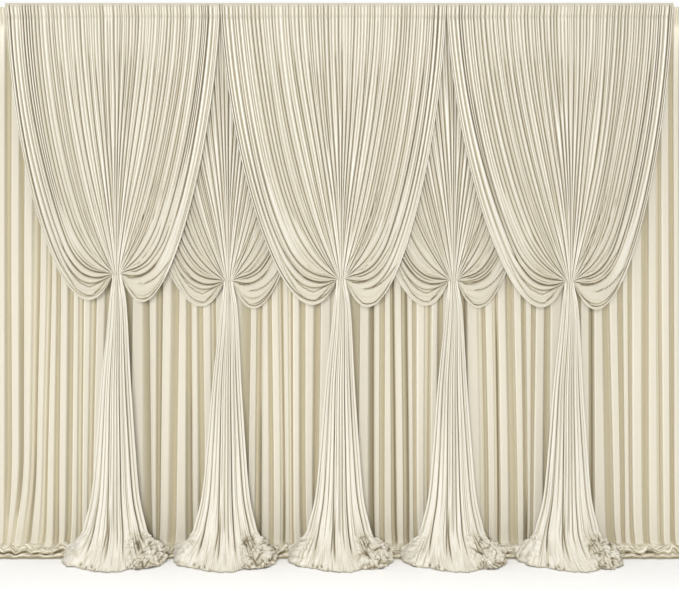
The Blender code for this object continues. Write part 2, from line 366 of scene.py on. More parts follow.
# Valleys between the folds of a swag, left edge to right edge. at: place across the cloth, from
# -1 to 1. nearTie: the same just before the tie. inTail: place across the tail. belly, tie, tail:
# how deep the valley is there. crisp: 0 for a soft trough, 1 for a sharp one.
valleys = tableOf(
    "at nearTie inTail belly tie tail crisp",
    (-1.0, -1.0, -1.0, 0.0, 0.0, 0.0, 0.5),
    (-0.965, -0.87, -0.955, 0.003, 0.003, 0.004, 0.5),
    (-0.93, -0.79, -0.9, 0.006, 0.008, 0.02, 0.7),
    (-0.895, -0.73, -0.81, 0.009, 0.01, 0.003, 1.0),
    (-0.85, -0.66, -0.71, 0.01, 0.012, 0.02, 0.6),
    (-0.745, -0.62, -0.61, 0.015, 0.014, 0.01, 1.8),
    (-0.645, -0.57, -0.52, 0.015, 0.014, 0.003, 1.7),
    (-0.55, -0.525, -0.44, 0.017, 0.015, 0.014, 1.8),
    (-0.48, -0.465, -0.36, 0.012, 0.004, 0.003, 1.0),
    (-0.415, -0.41, -0.29, 0.018, 0.012, 0.02, 1.5),
    (-0.35, -0.35, -0.22, 0.012, 0.002, 0.003, 1.0),
    (-0.29, -0.29, -0.16, 0.018, 0.01, 0.014, 1.3),
    (-0.225, -0.22, -0.1, 0.012, 0.002, 0.003, 1.0),
    (-0.165, -0.16, -0.05, 0.018, 0.008, 0.014, 1.2),
    (-0.105, -0.1, 0.0, 0.01, 0.002, 0.003, 0.9),
    (-0.05, -0.05, 0.05, 0.014, 0.002, 0.012, 1.0),
    (0.01, 0.01, 0.11, 0.018, 0.008, 0.016, 1.2),
    (0.07, 0.07, 0.17, 0.01, 0.002, 0.003, 0.9),
    (0.13, 0.13, 0.23, 0.016, 0.008, 0.014, 1.1),
    (0.19, 0.19, 0.3, 0.012, 0.01, 0.018, 1.0),
    (0.255, 0.25, 0.36, 0.018, 0.002, 0.003, 1.3),
    (0.32, 0.32, 0.43, 0.012, 0.01, 0.014, 1.0),
    (0.385, 0.38, 0.49, 0.018, 0.002, 0.003, 1.4),
    (0.45, 0.44, 0.56, 0.012, 0.01, 0.016, 1.1),
    (0.515, 0.48, 0.63, 0.015, 0.004, 0.003, 1.3),
    (0.58, 0.51, 0.7, 0.016, 0.015, 0.012, 1.7),
    (0.66, 0.55, 0.76, 0.012, 0.012, 0.02, 1.2),
    (0.74, 0.575, 0.82, 0.012, 0.014, 0.003, 1.3),
    (0.825, 0.6, 0.88, 0.018, 0.016, 0.014, 1.8),
    (0.885, 0.69, 0.92, 0.006, 0.008, 0.003, 0.7),
    (0.965, 0.87, 0.96, 0.003, 0.003, 0.004, 0.5),
    (1.0, 1.0, 1.0, 0.0, 0.0, 0.0, 0.5),
)

# Sharp creases of the lobes: steps from rod to tie, places across at these, half width in metres,
# depth, and how dark their painted shade is
creases = tableOf(
    "steps places width depth dark",
    ((0.5, 0.57, 0.72, 0.84, 0.91, 0.98), (-0.93, -0.945, -0.97, -0.97, -0.93, -0.79), 0.0035, 0.007, 0.85),
    ((0.84, 0.89, 0.94, 0.975), (-0.965, -0.93, -0.86, -0.77), 0.0036, 0.008, 1.0),
    ((0.58, 0.72, 0.82, 0.91, 0.965), (-0.93, -0.925, -0.91, -0.84, -0.73), 0.0035, 0.008, 0.9),
    ((0.52, 0.73, 0.84, 0.93, 0.975), (-0.905, -0.87, -0.83, -0.79, -0.7), 0.0038, 0.009, 0.95),
    ((0.45, 0.6, 0.8, 0.9), (-0.6, -0.6, -0.585, -0.56), 0.0028, 0.006, 0.6),
    ((0.48, 0.62, 0.78, 0.9), (-0.7, -0.695, -0.665, -0.62), 0.0028, 0.006, 0.55),
    ((0.7, 0.8, 0.9, 0.96), (-0.8, -0.775, -0.72, -0.65), 0.0034, 0.006, 0.5),
    ((0.56, 0.61, 0.7, 0.81, 0.875), (0.99, 0.965, 0.93, 0.88, 0.85), 0.0034, 0.009, 1.0),
    ((0.64, 0.72, 0.84, 0.93, 0.98), (0.89, 0.865, 0.81, 0.77, 0.63), 0.0038, 0.011, 0.95),
    ((0.6, 0.76, 0.86, 0.92, 0.985), (0.988, 0.986, 0.975, 0.94, 0.84), 0.0038, 0.008, 1.0),
    ((0.5, 0.6, 0.73, 0.84, 0.93), (0.86, 0.86, 0.82, 0.76, 0.68), 0.0031, 0.008, 0.9),
    ((0.5, 0.65, 0.8, 0.92), (0.79, 0.775, 0.73, 0.64), 0.0029, 0.006, 0.7),
    ((0.46, 0.64, 0.85, 0.96), (0.6, 0.58, 0.51, 0.42), 0.0031, 0.008, 0.85),
    ((0.44, 0.62, 0.82, 0.94), (0.7, 0.685, 0.62, 0.52), 0.0028, 0.006, 0.6),
    ((0.45, 0.6, 0.75, 0.88), (0.62, 0.62, 0.59, 0.54), 0.0028, 0.006, 0.6),
)

# Thin lines that run into the tie from above, and out of it below: places across the tail, half
# width in metres, depth, and how dark their painted shade is
linesAbove, linesBelow = tableOf(
    "places width depth dark",
    (np.linspace(-0.48, 0.42, 7), 0.0028, 0.006, 0.75),
    ((-0.58, -0.22, 0.16, 0.54), 0.0017, 0.002, 0.8),
)

# Strong creases down a tail. Their places across it, from -1 to 1, are given at the tie, a third of
# the way down, where its foot begins and at the hem. starts, ends: section of the tail.
strokes = tableOf(
    "atTie atThird atFoot atHem starts ends width depth",
    (-0.75, -0.9, -0.93, -0.93, 1.2, 7.8, 0.003, 0.012),
    (-0.48, -0.69, -0.64, -0.6, 0.0, 8.6, 0.0036, 0.018),
    (-0.36, -0.52, -0.42, -0.44, 1.5, 6.6, 0.0024, 0.01),
    (-0.18, -0.34, -0.19, -0.27, 0.0, 8.5, 0.0036, 0.02),
    (-0.14, -0.2, -0.1, -0.1, 1.5, 6.2, 0.0024, 0.01),
    (-0.12, -0.16, -0.145, -0.13, 6.0, 8.7, 0.006, 0.022),
    (-0.02, -0.04, 0.01, 0.04, 0.6, 7.6, 0.0028, 0.012),
    (0.12, 0.14, 0.13, 0.17, 0.0, 8.2, 0.003, 0.014),
    (0.26, 0.3, 0.3, 0.34, 0.8, 8.6, 0.0036, 0.018),
    (0.34, 0.5, 0.5, 0.52, 2.0, 8.0, 0.0024, 0.01),
    (0.42, 0.7, 0.79, 0.8, 0.0, 8.3, 0.004, 0.022),
    (0.5, 0.55, 0.57, 0.62, 6.8, 8.8, 0.0036, 0.016),
    (0.55, 0.6, 0.64, 0.69, 6.6, 8.6, 0.0042, 0.018),
    (0.6, 0.68, 0.71, 0.76, 6.8, 8.7, 0.0036, 0.016),
    (0.7, 0.87, 0.91, 0.92, 1.0, 7.6, 0.0026, 0.01),
)

# Small tucks near the hem of a tail's foot: places across, and shares of the way to the hem
tuckMarks = (
    (-0.6, 0.9), (-0.49, 0.93), (-0.42, 0.87), (-0.31, 0.94), (0.41, 0.94), (0.47, 0.88), (0.55, 0.92),
    (0.61, 0.86), (0.68, 0.93), (0.75, 0.88), (0.82, 0.94), (0.9, 0.9),
)
tuckSize = {"width": 0.005, "length": 0.017, "depth": 0.01}

# Sections of a tail, from the tie to its foot. share: of the way to the floor. shift, halfWidth:
# sideways. bulge: how far its middle stands before its edges. fold: share of its valleys' depth.
tail = tableOf(
    "share shift halfWidth bulge fold rows",
    (0.0, 0.0, 0.023, 0.022, 0.8, 5),
    (0.025, 0.002, 0.026, 0.024, 0.6, 6),
    (0.065, 0.004, 0.036, 0.028, 0.7, 6),
    (0.125, 0.005, 0.045, 0.032, 0.8, 10),
    (0.37, -0.004, 0.072, 0.034, 0.6, 10),
    (0.6, -0.006, 0.096, 0.037, 0.62, 9),
    (0.78, -0.008, 0.12, 0.041, 0.65, 8),
    (0.89, -0.01, 0.156, 0.046, 0.7, 1),
)

# A tail's foot spreads over the floor. across: place, from -1 to 1. hemSide, hemForward, hemUp: the
# hem there. heapUp: how high the heap under it is, heapShare: how near to the hem its top lies.
feet = tableOf(
    "across hemSide hemForward hemUp heapUp heapShare",
    (-1.0, -0.258, -0.015, 0.052, 0.066, 0.6),
    (-0.95, -0.256, -0.045, 0.018, 0.07, 0.78),
    (-0.89, -0.25, -0.095, 0.0, 0.074, 0.84),
    (-0.78, -0.207, -0.2, 0.0, 0.066, 0.74),
    (-0.62, -0.148, -0.232, 0.0, 0.04, 0.58),
    (-0.4, -0.085, -0.286, 0.0, 0.02, 0.52),
    (-0.12, -0.022, -0.314, 0.0, 0.012, 0.5),
    (0.12, 0.03, -0.32, 0.0, 0.012, 0.5),
    (0.32, 0.072, -0.3, 0.0, 0.016, 0.5),
    (0.45, 0.108, -0.258, 0.0, 0.024, 0.54),
    (0.6, 0.148, -0.268, 0.0, 0.04, 0.56),
    (0.76, 0.194, -0.236, 0.0, 0.06, 0.64),
    (0.89, 0.234, -0.17, 0.0, 0.072, 0.74),
    (0.95, 0.25, -0.07, 0.016, 0.07, 0.74),
    (1.0, 0.253, -0.018, 0.05, 0.064, 0.6),
)


# Splits the cloth between the valleys into gathers. Each edge of a gather has its place, as a
# valley's number and the share of the way to the next, the step at which it fades, its strength, a
# phase for its waves, and the section of the tail where it has a tuck
def gathersOf(seed):
    dice = np.random.default_rng(seed)
    at = column(valleys, "at")
    edges = []
    for number, (here, there) in enumerate(zip(at, at[1:])):
        count = max(1, round(there / swagValues["gatherPitch"]) - round(here / swagValues["gatherPitch"]))
        for step in range(count):
            share = 0.0 if step == 0 else (step + dice.uniform(-0.3, 0.3)) / count
            outer = abs(blend(here, there, share))
            fade = 3.0 if step == 0 else dice.uniform(0.28, 0.52) + 0.45 * bump(outer, 0.5, 0.45)
            strength, phase, tuck = dice.uniform(0.75, 1.3), dice.uniform(0, 6.3), dice.uniform(4, 9)
            edges.append((number + share, fade, strength, phase, tuck))
    edges.append((len(at) - 1.0, 3.0, 0.6, 0.0, 9.0))
    return np.array(edges)


# Half the width of a swag at the rod, on the side of each thread
def halfAtRod(values, across):
    return np.where(across < 0, values["tie"] - values["left"], values["right"] - values["tie"])


# Middle surface between rod and tie: one curve for each thread of the cloth
def swagFall(values, across, evenly, step):
    tieHeight = values["tieUp"] - rise
    edge = np.abs(across)

    def side(name):
        return np.where(across < 0, getattr(leftEdge, name), getattr(rightEdge, name))

    sign = side("side")
    start = (across * halfAtRod(values, across), seamHeight - tieHeight)
    first = (
        sign * values["lobes"] * side("firstOut") * edge,
        blend(swagValues["middleFirstUp"], side("firstUp"), edge**2),
    )
    second = (
        sign * values["lobes"] * side("secondOut") * ease(edge),
        blend(swagValues["middleSecondUp"], side("secondUp"), edge**2),
    )
    end = (evenly * swagValues["knotHalfWidth"], -swagValues["knotDrop"] * edge**4)
    weights = ((1 - step) ** 3, 3 * (1 - step) ** 2 * step, 3 * (1 - step) * step**2, step**3)
    handles = (start, first, second, end)
    sideways, up = (sum(w * h[axis] for w, h in zip(weights, handles)) for axis in (0, 1))
    tieFront = values["tiePlane"] - swagValues["knotBulge"] * (1 - evenly**2)
    belly = values["belly"] * np.sin(math.pi * step**1.3) * (0.4 + 0.6 * edge)
    forward = blend(values["pocket"] - pocketValues["foot"], tieFront, ease(step)) - belly
    return np.stack([values["tie"] + sideways, forward, tieHeight + up], axis=-1)


# Foot of a tail: a curve from each thread's last point on the tail, over the heap, to the hem
def tailFoot(values, above, spread, way):
    last, before = above[-1], above[-2]
    places = column(feet, "across")
    row = np.interp(spread, places, np.arange(len(places)))
    hemSide, hemForward, hemUp, heapUp, heapShare = (
        throughPoints(column(feet, key), row)
        for key in ("hemSide", "hemForward", "hemUp", "heapUp", "heapShare"))
    hemUp = np.clip(hemUp, 0, 1)
    uneven = 0.006 * np.sin(23 * spread + values["seed"]) + 0.004 * np.sin(47 * spread + 2 * values["seed"])
    hemForward = hemForward + uneven * ease((1 - np.abs(spread)) / 0.2)
    hem = np.stack([values["tie"] + hemSide, hemForward, floorHeight + restGap + hemUp], axis=-1)
    onward = (last - before) / np.linalg.norm(last - before, axis=-1, keepdims=True)
    first = last + onward * swagValues["footHandle"]
    second = blend(last, hem, heapShare[:, None])
    second[:, 2] = floorHeight + heapUp
    t = way[:, None, None]
    return (1 - t) ** 3 * last + 3 * (1 - t) ** 2 * t * first + 3 * (1 - t) * t**2 * second + t**3 * hem


# Unit vectors out of a grid of points, to the front
def outwards(points):
    down = np.gradient(points, axis=0)
    sideways = np.gradient(points, axis=1)
    out = np.cross(sideways, down)
    out /= np.linalg.norm(out, axis=-1, keepdims=True) + 1e-12
    for _ in range(3):
        out[1:-1] = (out[:-2] + 2 * out[1:-1] + out[2:]) / 4
    out /= np.linalg.norm(out, axis=-1, keepdims=True) + 1e-12
    facing = np.sign(out[..., 2:3] - out[..., 1:2])
    return out * facing


# How wide the cloth is between the columns given
def widths(surface, columns):
    return np.linalg.norm(np.diff(surface[:, columns], axis=1), axis=-1)


# How wide it is on both sides of them, which limits a valley's depth
def roomBeside(surface, columns):
    gaps = widths(surface, columns)
    before, after = (np.pad(gaps, ((0, 0), side), mode="edge") for side in ((1, 0), (0, 1)))
    return (before + after) / 2


# Folds over a surface, with their valleys at the columns given. number, share: each thread's place
# between these
def foldsOver(surface, columns, number, share, depth, crisp):
    crisp = np.broadcast_to(crisp, depth.shape)
    return foldsBetween(
        share, widths(surface, columns)[:, number], depth[:, number], depth[:, number + 1],
        crisp[:, number], crisp[:, number + 1])


# The threads of a swag, each a column of its mesh. A thread lies between two valleys, and in one of
# the gathers between them.
class Threads:
    def __init__(self, seed):
        edges = gathersOf(seed)
        self.fades, self.strength, self.phase, self.tuck = edges[:, 1:].T
        self.at, self.nearTie, self.inTail, self.crisp = (
            column(valleys, key) for key in ("at", "nearTie", "inTail", "crisp"))
        numbers = np.arange(len(valleys))
        self.outer = np.abs(np.interp(edges[:, 0], numbers, self.at))
        self.edgeInTail = np.interp(edges[:, 0], numbers, self.inTail)
        few, many = swagValues["columnsPerGather"], swagValues["columnsPerOuterGather"]
        parts = np.where(self.outer[:-1] > swagValues["outerFrom"], many, few)
        self.gatherColumns = np.concatenate([[0], np.cumsum(parts)])
        self.columns = np.arange(self.gatherColumns[-1] + 1)
        place = np.interp(self.columns, self.gatherColumns, edges[:, 0])
        self.gather = np.append(np.repeat(np.arange(len(parts)), parts), len(parts) - 1)
        before, after = edges[self.gather, 0], edges[self.gather + 1, 0]
        self.gatherShare = (place - before) / (after - before)
        self.fold = np.minimum(place.astype(int), len(valleys) - 2)
        self.foldShare = place - self.fold
        self.valleyColumns = np.searchsorted(place, numbers - 1e-6)

    # Values at the valleys, read at each thread
    def across(self, path):
        return blend(path[..., self.fold], path[..., self.fold + 1], self.foldShare)

    def folds(self, surface, depth, crisp):
        return foldsOver(surface, self.valleyColumns, self.fold, self.foldShare, depth, crisp)

    def gathers(self, surface, depth, crisp):
        return foldsOver(surface, self.gatherColumns, self.gather, self.gatherShare, depth, crisp)


# Depth of the gathers between rod and tie, at their edges
def gatherDepths(threads, fall, step):
    phase = threads.phase
    lasting = blend(0.22, 0.5, np.sin(5 * phase) > 0) * ease((threads.outer - 0.42) / 0.15)
    fading = np.maximum(1 - ease((step - threads.fades + 0.2) / 0.35), lasting)
    lively = 0.95 + 0.3 * np.sin(phase + 8 * step) + 0.2 * np.sin(2.3 * phase + 19 * step)
    depth = swagValues["gatherDepth"] * threads.strength * fading * np.clip(lively, 0.6, 1.4)
    depth = depth * blend(0.7, 1.0, ease(step / 0.05))
    # A gather at a valley fades into it
    atValley = depth * (1 - 0.8 * ease((step - 0.25) / 0.4))
    depth = np.where(threads.fades > 2, atValley, depth)
    packed = blend(swagValues["packedTop"], swagValues["packedBelow"], ease((step - 0.15) / 0.3))
    return np.minimum(depth, packed * roomBeside(fall, threads.gatherColumns))


# Cloth between rod and tie: its points with their painted shade and painted highlight, then the height
# and painted shade of the gathers in its first row
def fallCloth(values, threads, depths, wander):
    # Closer rows in the lower half
    rows = np.linspace(0, 1, swagValues["fallRows"])[1:, None]
    step = np.interp(rows, [0, 0.05, 0.30, 0.45, 1], [0, 0.05, 0.42, 0.56, 1])
    wobble = wander[0] * np.sin(4 * step) + wander[1] * np.cos(7 * step)
    wobble = swagValues["fallWander"] * np.sin(math.pi * step) * wobble
    drift = np.clip((step - 0.6) / 0.4, 0, 1) ** 1.7
    inner = np.abs(threads.at) < 0.95
    place = threads.across(blend(threads.at, threads.nearTie, drift) + wobble * inner)
    evenly = threads.across(threads.inTail)
    fall = swagFall(values, place, evenly, step)
    lively = 1 + 0.25 * np.sin(threads.phase[:len(valleys)] + 6 * step)
    bellyDepth = blend(0.002, depths["belly"] * lively, ease(step / 0.45))
    depth = blend(bellyDepth, depths["tie"], ease((step - 0.5) / 0.4))
    depth = np.minimum(depth, roomBeside(fall, threads.valleyColumns))
    folds, paintedShade = threads.folds(fall, depth, threads.crisp)
    gatherDepth = gatherDepths(threads, fall, step)
    gathers, gatherShade = threads.gathers(fall, gatherDepth, 0.5)
    gather = threads.gather
    # painted shade in the gathers' valleys, darker in some gathers and near the rod
    darker = np.where(np.sin(7 * threads.phase) > 0.4, 1.0, 0.56)  # some gathers are darker than most
    gatherShade = gatherShade * np.where(threads.gatherShare < 0.5, darker[gather], darker[gather + 1])
    gatherShade = gatherShade * blend(1.40, 1.14, ease(step / 0.4))
    forward = folds + gathers
    scale = widths(fall, threads.gatherColumns)[:, gather] / np.diff(threads.edgeInTail)[gather]
    for number, middle in enumerate(linesAbove.places):
        lasting = ease((step - 0.45) / 0.25) * (1 - (number % 2) * ease((step - 0.84) / 0.1))
        narrow = linesAbove.width * np.clip(scale / 0.06, 0.5, 1)
        cut = lasting * np.exp(-(np.abs(evenly - middle) * scale / narrow) ** 1.6)
        forward = forward - linesAbove.depth * cut
        # painted shade along the lines above the tie
        paintedShade = np.maximum(paintedShade, linesAbove.dark * cut)
    threadWidth = widths(fall, threads.columns) / np.maximum(np.diff(place, axis=1), 1e-4)
    threadWidth = np.concatenate([threadWidth, threadWidth[:, -1:]], axis=1)
    for crease in creases:
        way = (step - crease.steps[0]) / (crease.steps[-1] - crease.steps[0])
        fading = ease(np.minimum(way, 1 - way) * 5)
        line = np.interp(step, crease.steps, crease.places)
        narrow = crease.width * np.clip(threadWidth / 0.28, 0.4, 1)
        narrow = np.maximum(narrow, 0.5 * np.abs(np.gradient(line, axis=0)) * threadWidth)
        cut = fading * np.exp(-((place - line) * threadWidth / narrow) ** 2)
        forward = forward - crease.depth * cut
        # painted shade in the lobes' creases
        paintedShade = np.maximum(paintedShade, np.minimum(1.4 * crease.dark * cut**1.3, 1))
    fall[..., 1] -= forward
    # painted shade over the lower part of the lobes
    shaded = swagValues["lobeShade"] * ease((step - 0.58) / 0.15) * ease((np.abs(place) - 0.55) / 0.2)
    paintedShade = np.maximum(np.maximum(paintedShade, gatherShade), shaded)
    # painted highlight on the gathers' ridges, less where the cloth is smooth
    smooth = ease((step - 0.15) / 0.4) * ease((np.abs(place) - 0.40) / 0.2)
    ridged = np.clip(gatherDepth[:, gather] / 0.006, 0.6, 1)
    cloth = (fall, paintedShade, (1 - 0.85 * smooth) * ridged)
    return cloth, gathers[:1], gatherShade[:1]


# Rod pocket of a swag. The gathers of its fall's first row fade out over the rod.
def swagPocket(values, threads, gathers, gatherShade):
    atRod = threads.across(threads.at)
    alongRod = values["tie"] + atRod * halfAtRod(values, atRod)
    section = pocketRows()
    reach = np.interp(np.arange(len(section)), *swagValues["pocketReach"])[:, None]
    relief = gathers * reach
    points = pocketCloth(alongRod, values["pocket"], section, relief)
    # painted shade on the smooth cloth over the rod and along the stitches, and in the gathers below
    topShade = blend(0.40, 0.10, ease((reach - 0.24) / 0.5))
    paintedShade = np.maximum(1.15 * gatherShade * ease(reach / 0.7), topShade)
    paintedShade[-1] = np.maximum(paintedShade[-1], swagValues["stitchShade"])
    # painted highlight on the pocket's gathers
    return points, paintedShade, ease(reach / 0.9) * np.ones_like(relief)


# Depth of a tail's tucks and of its foot's ruffles, at the edges of the gathers
def tuckDepths(threads, surface, down, low):
    strength, phase = threads.strength, threads.phase
    tucked = np.abs(np.sin(3 * phase)) > 0.35  # only some gathers are
    length = 1.5 + 0.8 * np.sin(phase)
    tucks = swagValues["tuckDepth"] * strength * bump(down, threads.tuck, length) * tucked
    ruffled = blend(0.45, 1.0, ease((np.abs(threads.edgeInTail) - 0.3) / 0.3))
    ruffles = swagValues["ruffleDepth"] * strength * ease(low / 0.35) * ruffled
    ruffles = ruffles * np.clip(0.6 + 0.7 * np.sin(3 * phase + 9 * low), 0, 1.2)
    ruffles = np.where(threads.edgeInTail < -0.6, 0.35 * ruffles, ruffles)
    return np.minimum(np.maximum(tucks, ruffles), 0.8 * roomBeside(surface, threads.gatherColumns))


# Cuts strokes, the lines under the tie and the hem's tucks into a tail's folds, and paints shade along them
def tailCreases(folds, paintedShade, spread, breadth, down, low, seed):
    for stroke in strokes:
        line = np.interp(down, [0, 4, 7, 9], [stroke.atTie, stroke.atThird, stroke.atFoot, stroke.atHem])
        begun = (down - stroke.starts) / 1.2 + (stroke.starts == 0)
        lasting = ease(np.minimum(begun, (stroke.ends - down) / 0.9))
        narrow = 0.85 * stroke.width * np.clip(breadth / 0.08, 0.35, 1)
        cut = lasting * np.exp(-((spread - line) * breadth / narrow) ** 2)
        folds = folds - np.minimum(0.7 * stroke.depth, 0.09 * breadth) * cut
        dark = min(1.0, stroke.depth / 0.017) * np.clip(breadth / 0.06, 0.4, 1)
        paintedShade = np.maximum(paintedShade, np.minimum(blend(1.0, 1.25, low) * cut, 1) * dark)
    lasting = 1 - ease((down - 0.8) / 2.2)
    for middle in linesBelow.places:
        cut = lasting * np.exp(-(np.abs(spread - middle) * breadth / linesBelow.width) ** 1.6)
        folds = folds - linesBelow.depth * cut
        paintedShade = np.maximum(paintedShade, linesBelow.dark * cut)
    for number, (markAt, markWay) in enumerate(tuckMarks):
        aside = (spread - markAt - 0.02 * math.sin(5 * number + seed)) * breadth
        onward = (low - markWay) * 0.35
        turned = aside + 0.5 * math.sin(3 * number) * onward
        cut = np.exp(-(turned / tuckSize["width"]) ** 2 - (onward / tuckSize["length"]) ** 4)
        folds = folds - tuckSize["depth"] * cut
        paintedShade = np.maximum(paintedShade, cut)
    return folds, paintedShade


# Cloth of a tail and its foot: its points with their painted shade and painted highlight
def tailCloth(values, threads, depths, dice):
    seed = values["seed"]
    rows = rowsDown(tail)
    share, shift, halfWidth, bulge, scale = (
        throughPoints(column(tail, key), rows) for key in ("share", "shift", "halfWidth", "bulge", "fold"))
    way = np.linspace(0, 1, swagValues["footRows"] + 1)[1:]
    down = np.concatenate([rows[:, 0], len(tail) - 1 + way * 2])[:, None]
    scale = np.concatenate([scale[:, 0], tail[-1].fold * (1 - 0.85 * ease(way))])[:, None]
    low = np.concatenate([rows[:, 0] * 0, way])[:, None]
    weave = swagValues["tailWander"] * ease(down / 3) * (
        dice.uniform(-1, 1, len(valleys)) * np.sin(0.9 * down)
        + dice.uniform(-1, 1, len(valleys)) * np.cos(1.7 * down))
    spread = threads.across(threads.inTail + weave * (np.abs(threads.inTail) < 0.88))
    straight = spread[:len(rows)]
    plane = blend(values["tiePlane"], swagValues["tailFoot"], share)
    surface = np.stack(np.broadcast_arrays(
        values["tie"] + shift + halfWidth * straight,
        plane - bulge * np.clip(1 - straight**2, 0, 1),
        blend(values["tieUp"], 0.0015, share) - rise,
    ), axis=-1)
    surface = np.concatenate([surface, tailFoot(values, surface, spread[-1], way)])

    # Folds down the tail
    lively = np.clip(0.65 + 0.6 * np.sin(threads.phase[:len(valleys)] + 1.3 * down), 0, 1.2)
    depth = blend(depths["tie"], depths["tail"] * lively, ease(down / 2.5)) * scale
    room = roomBeside(surface, threads.valleyColumns)
    depth = np.minimum(depth, room * blend(0.9, 3.2, ease(down - 0.5)))
    slit = threads.crisp + np.clip((depth - 0.010) / 0.015, 0, 0.9) * ease(down / 2)
    folds, paintedShade = threads.folds(surface, depth, slit)
    fine, fineShade = threads.gathers(surface, tuckDepths(threads, surface, down, low), 1.0)
    breadth = np.linalg.norm(surface[:, -1] - surface[:, 0], axis=-1)[:, None] / 2
    # painted shade of the tail's folds, weaker than that of its strokes
    folds, paintedShade = tailCreases(folds, paintedShade * swagValues["foldShade"], spread, breadth, down, low, seed)

    # Crumples of the foot, broad at its left end and small at its right
    left, right = ease((-spread - 0.62) / 0.2), ease((spread - 0.30) / 0.3)
    x, y, z = np.moveaxis(surface, -1, 0)
    soft, softLines = crumple(x * 0.5, 0.7 * y + 1.5 * z, seed, swagValues["leftPitch"])
    sharp, sharpLines = crumple(x, 0.45 * y + z, seed + 50, swagValues["rightPitch"])
    relief = swagValues["footRelief"]
    rough = ease(low / 0.45) * (relief * left * soft + (relief * right + 0.0018) * sharp)
    crumpleShade = ease(low / 0.35) * np.maximum(0.55 * left * softLines, (1.15 * right + 0.08) * sharpLines)
    heaped = 0.4 * depth.mean() + 0.3 * np.abs(folds) + 0.003 * (left + right)
    raised = folds + fine + rough + ease(low / 0.8) * heaped
    points = surface + outwards(surface) * raised[..., None]
    points[..., 2] = np.maximum(points[..., 2], floorHeight + restGap)
    # painted shade in the fine gathers and the crumples' creases
    paintedShade = np.maximum(paintedShade, fineShade * blend(0.30, 0.7, ease(low * 2)))
    paintedShade = np.maximum(paintedShade, crumpleShade)
    # painted shadow under the hem's edge, where it lies on the floor
    paintedShade = np.maximum(paintedShade, swagValues["hemShade"] * ease((low - 0.955) / 0.04))
    # painted highlight on the tail, less towards the floor
    return points, paintedShade, blend(0.70, 0.42, ease(down / 3)) * np.ones_like(folds)


def makeSwag(name, values, material):
    threads = Threads(values["seed"])
    dice = np.random.default_rng(values["seed"] + 100)
    wander = dice.uniform(-1, 1, (2, len(valleys)))
    uneven = dice.uniform(0.8, 1.2, len(valleys))
    depths = {key: column(valleys, key) * uneven for key in ("belly", "tie", "tail")}
    fall, gathers, gatherShade = fallCloth(values, threads, depths, wander)
    pocket = swagPocket(values, threads, gathers, gatherShade)
    below = tailCloth(values, threads, depths, dice)
    points, paintedShade, paintedHighlight = (np.concatenate(parts) for parts in zip(pocket, fall, below))
    piece = clothPiece("drape_" + name, points, paintedShade, paintedHighlight, material)
    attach(piece, "root")
    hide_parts(name, "pocket_" + name)


# Plain panels behind the swags, with the places of their edges at the rod and of their pleats' crests
plains = {
    "plain_1": dict(left=-1.728, right=-0.5675, seed=21, crests=(
        -1.703, -1.646, -1.579, -1.496, -1.44, -1.394, -1.331, -1.275, -1.212,
        -1.13, -1.038, -0.942, -0.881, -0.798, -0.729, -0.683, -0.615)),
    "plain_2": dict(left=-0.5645, right=0.57, seed=22, crests=(
        -0.51, -0.436, -0.377, -0.333, -0.273, -0.217, -0.152, -0.082, 0.008,
        0.112, 0.192, 0.246, 0.291, 0.353, 0.41, 0.479, 0.535)),
    "plain_3": dict(left=0.573, right=1.731, seed=23, crests=(
        0.6, 0.652, 0.743, 0.81, 0.894, 0.952, 1.002, 1.082, 1.171,
        1.24, 1.297, 1.38, 1.445, 1.496, 1.577, 1.641, 1.706)),
}

plainValues = {
    "pocket": 0.0726,
    "pocketRelief": 0.0055,
    # rows of the pocket's section, and how far its gathers stand out there
    "pocketReach": ((0, 4, 9, 16), (0.35, 0.35, 0.5, 1.0)),
    "pocketGathers": 3.5,  # for each pleat
    "risesBy": 0.06,  # shares of a fold's width: it stands forward by here,
    "standsTo": 0.54,  # keeps its front to here
    "fallsBy": 0.65,  # and is back at the bottom of the hollow by here
    "depthShare": 0.55,  # depth of a fold as a share of its width
    "deepest": 0.034,
    "litFlank": 0.017,  # from a valley to the crest on its right
    "columnsPerFold": 20,
    "gatherDepth": 0.009,  # under the pocket
    "sway": 0.008,  # sideways, of a valley
    "lean": 0.032,  # the same at the floor
    "endLean": 0.05,  # outwards at the floor, of the folds near the left end
    "hemWave": 0.009,  # forward, of the cloth that lies on the floor
    "hemWaveUp": 0.015,
    # painted highlight at a pleat's left edge, and on the cloth that lies on the floor
    "edgeLight": 0.7,  # of a pleat
    "floorLight": 0.72,
    "hemPitch": 0.024,
    "hemRelief": 0.009,
}

# Levels of a plain panel from the pocket down: height over the floor, plane, depth of its folds,
# flare: how much further from the middle they stand, wave: how far the hem's waves reach there
levels = tableOf(
    "height plane fold flare wave rows",
    (2.7012, 0.0726, 0.2, 0.0, 0.0, 8),
    (2.35, 0.082, 0.85, 0.0, 0.0, 11),
    (1.3, 0.088, 1.0, 0.002, 0.0, 15),
    (0.2, 0.087, 1.05, 0.006, 0.0, 8),
    (0.075, 0.085, 1.0, 0.008, 0.0, 7),
    (0.05, 0.07, 0.9, 0.009, 0.3, 8),
    (0.045, 0.034, 0.6, 0.01, 0.9, 8),
    (0.04, 0.0, 0.3, 0.01, 1.0, 7),
    (0.029, -0.012, 0.15, 0.01, 1.0, 6),
    (0.021, 0.004, 0.08, 0.01, 0.9, 6),
    (0.013, -0.022, 0.08, 0.01, 0.7, 8),
    (0.002, -0.052, 0.05, 0.011, 0.4, 1),
)


# A pleat's front from 0 in the hollows to 1: it rises steeply on the left and falls softly
def pleat(share, softer):
    standsTo, fallsBy = plainValues["standsTo"], plainValues["fallsBy"]
    fallen = ease((share - standsTo) / (fallsBy - standsTo + softer))
    return ease(share / plainValues["risesBy"]) * (1 - fallen)


